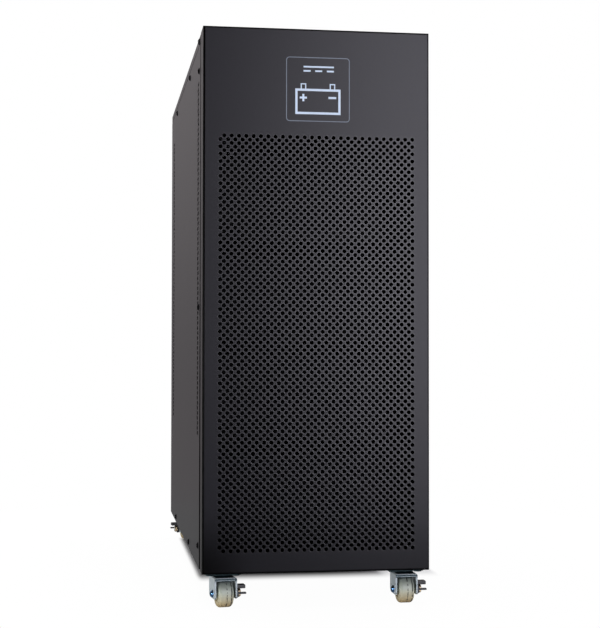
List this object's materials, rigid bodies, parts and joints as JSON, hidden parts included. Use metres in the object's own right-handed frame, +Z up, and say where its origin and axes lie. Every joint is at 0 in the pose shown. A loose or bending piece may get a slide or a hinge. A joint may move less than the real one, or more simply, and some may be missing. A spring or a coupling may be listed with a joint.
{
  "type": "ups battery cabinet",
  "caption": "Tall narrow black steel cabinet with a perforated front that holds tiers of sealed batteries for a UPS, on small braked swivel casters.",
  "frame": {"origin": "on the floor, under the middle of the box round the whole cabinet", "axes": "+Z up, the perforated front faces -Y, +X to the right as seen from the front"},
  "size_m": [0.254, 0.617, 0.63],
  "materials": {
    "cabinet_paint": "fine satin powder coat, charcoal black",
    "black_screw": "black oxide",
    "zinc_plate": "bright bluish zinc plating",
    "yellow_zinc": "yellow passivated zinc",
    "brass_stud": "plain turned brass",
    "tinned_copper": "tinned",
    "black_insulation": "insulation",
    "red_insulation": "insulation",
    "battery_case": "moulded case, black",
    "breaker_plastic": "moulded, light grey",
    "black_plastic": "moulded",
    "fuse_body": "ceramic barrel with plain caps",
    "socket_plastic": "moulded, mid grey",
    "wheel_nylon": "off-white moulded nylon, slightly soiled",
    "lever_black": "black lacquered pressing"
  },
  "bodies": {
    "cabinet": {"front_panel": "cabinet_paint", "left_side_panel": "cabinet_paint", "right_side_panel": "cabinet_paint", "top_cover": "cabinet_paint", "rear_panel": "cabinet_paint", "base_tray": "cabinet_paint", "portal_frame": "cabinet_paint", "left_top_rail": "cabinet_paint", "right_top_rail": "cabinet_paint", "tray_runners": "cabinet_paint", "side_screws": "black_screw", "caster_bolts": "zinc_plate", "caster_nuts": "zinc_plate", "battery_links": "black_insulation", "tier_leads": "black_insulation", "positive_lead": "red_insulation", "negative_lead": "black_insulation", "output_leads": "black_insulation", "breaker_body": "breaker_plastic", "fuse_block": "black_plastic", "fuse": "fuse_body", "upper_socket": "socket_plastic", "lower_socket": "socket_plastic", "socket_contacts": "tinned_copper", "socket_screws": "zinc_plate", "earth_stud": "brass_stud", "earth_nut": "brass_stud", "caster_plates": "zinc_plate", "caster_races": "zinc_plate", "caster_kingpins": "zinc_plate", "battery_tray_1": "cabinet_paint", "battery_tier_1": "battery_case", "battery_tray_2": "cabinet_paint", "battery_tier_2": "battery_case", "battery_tray_3": "cabinet_paint", "battery_tier_3": "battery_case", "battery_tray_4": "cabinet_paint", "battery_tier_4": "battery_case"},
    "breaker_toggle": {"breaker_toggle": "black_plastic"},
    "front_left_fork": {"front_left_fork": "zinc_plate", "front_left_axle": "zinc_plate", "front_left_axle_nut": "yellow_zinc"},
    "front_left_wheel": {"front_left_wheel": "wheel_nylon"},
    "front_left_brake_lever": {"front_left_brake_lever": "lever_black"},
    "front_right_fork": {"front_right_fork": "zinc_plate", "front_right_axle": "zinc_plate", "front_right_axle_nut": "yellow_zinc"},
    "front_right_wheel": {"front_right_wheel": "wheel_nylon"},
    "front_right_brake_lever": {"front_right_brake_lever": "lever_black"},
    "rear_left_fork": {"rear_left_fork": "zinc_plate", "rear_left_axle": "zinc_plate", "rear_left_axle_nut": "yellow_zinc"},
    "rear_left_wheel": {"rear_left_wheel": "wheel_nylon"},
    "rear_left_brake_lever": {"rear_left_brake_lever": "lever_black"},
    "rear_right_fork": {"rear_right_fork": "zinc_plate", "rear_right_axle": "zinc_plate", "rear_right_axle_nut": "yellow_zinc"},
    "rear_right_wheel": {"rear_right_wheel": "wheel_nylon"},
    "rear_right_brake_lever": {"rear_right_brake_lever": "lever_black"}
  },
  "joints": [
    {"name": "breaker_switch", "type": "hinge", "parent": "cabinet", "child": "breaker_toggle", "pos_m": [-0.06, 0.2875, 0.573], "axis": [1, 0, 0], "range_deg": [0, 50]},
    {"name": "front_left_swivel", "type": "hinge", "parent": "cabinet", "child": "front_left_fork", "pos_m": [-0.101, -0.2795, 0.033], "axis": [0, 0, 1], "continuous": true},
    {"name": "front_left_roll", "type": "hinge", "parent": "front_left_fork", "child": "front_left_wheel", "pos_m": [-0.09961, -0.2894, 0.015], "axis": [0.9903, 0.1392, 0], "continuous": true},
    {"name": "front_left_brake", "type": "hinge", "parent": "front_left_fork", "child": "front_left_brake_lever", "pos_m": [-0.09961, -0.2894, 0.015], "axis": [0.9903, 0.1392, 0], "range_deg": [-40, 0]},
    {"name": "front_right_swivel", "type": "hinge", "parent": "cabinet", "child": "front_right_fork", "pos_m": [0.101, -0.2795, 0.033], "axis": [0, 0, 1], "continuous": true},
    {"name": "front_right_roll", "type": "hinge", "parent": "front_right_fork", "child": "front_right_wheel", "pos_m": [0.10109, -0.2895, 0.015], "axis": [1, 0.0087, 0], "continuous": true},
    {"name": "front_right_brake", "type": "hinge", "parent": "front_right_fork", "child": "front_right_brake_lever", "pos_m": [0.10109, -0.2895, 0.015], "axis": [1, 0.0087, 0], "range_deg": [-40, 0]},
    {"name": "rear_left_swivel", "type": "hinge", "parent": "cabinet", "child": "rear_left_fork", "pos_m": [-0.101, 0.2575, 0.033], "axis": [0, 0, 1], "continuous": true},
    {"name": "rear_left_roll", "type": "hinge", "parent": "rear_left_fork", "child": "rear_left_wheel", "pos_m": [-0.10239, 0.2674, 0.015], "axis": [-0.9903, -0.1392, 0], "continuous": true},
    {"name": "rear_left_brake", "type": "hinge", "parent": "rear_left_fork", "child": "rear_left_brake_lever", "pos_m": [-0.10239, 0.2674, 0.015], "axis": [-0.9903, -0.1392, 0], "range_deg": [-40, 0]},
    {"name": "rear_right_swivel", "type": "hinge", "parent": "cabinet", "child": "rear_right_fork", "pos_m": [0.101, 0.2575, 0.033], "axis": [0, 0, 1], "continuous": true},
    {"name": "rear_right_roll", "type": "hinge", "parent": "rear_right_fork", "child": "rear_right_wheel", "pos_m": [0.10091, 0.2675, 0.015], "axis": [-1, -0.0087, 0], "continuous": true},
    {"name": "rear_right_brake", "type": "hinge", "parent": "rear_right_fork", "child": "rear_right_brake_lever", "pos_m": [0.10091, 0.2675, 0.015], "axis": [-1, -0.0087, 0], "range_deg": [-40, 0]}
  ]
}
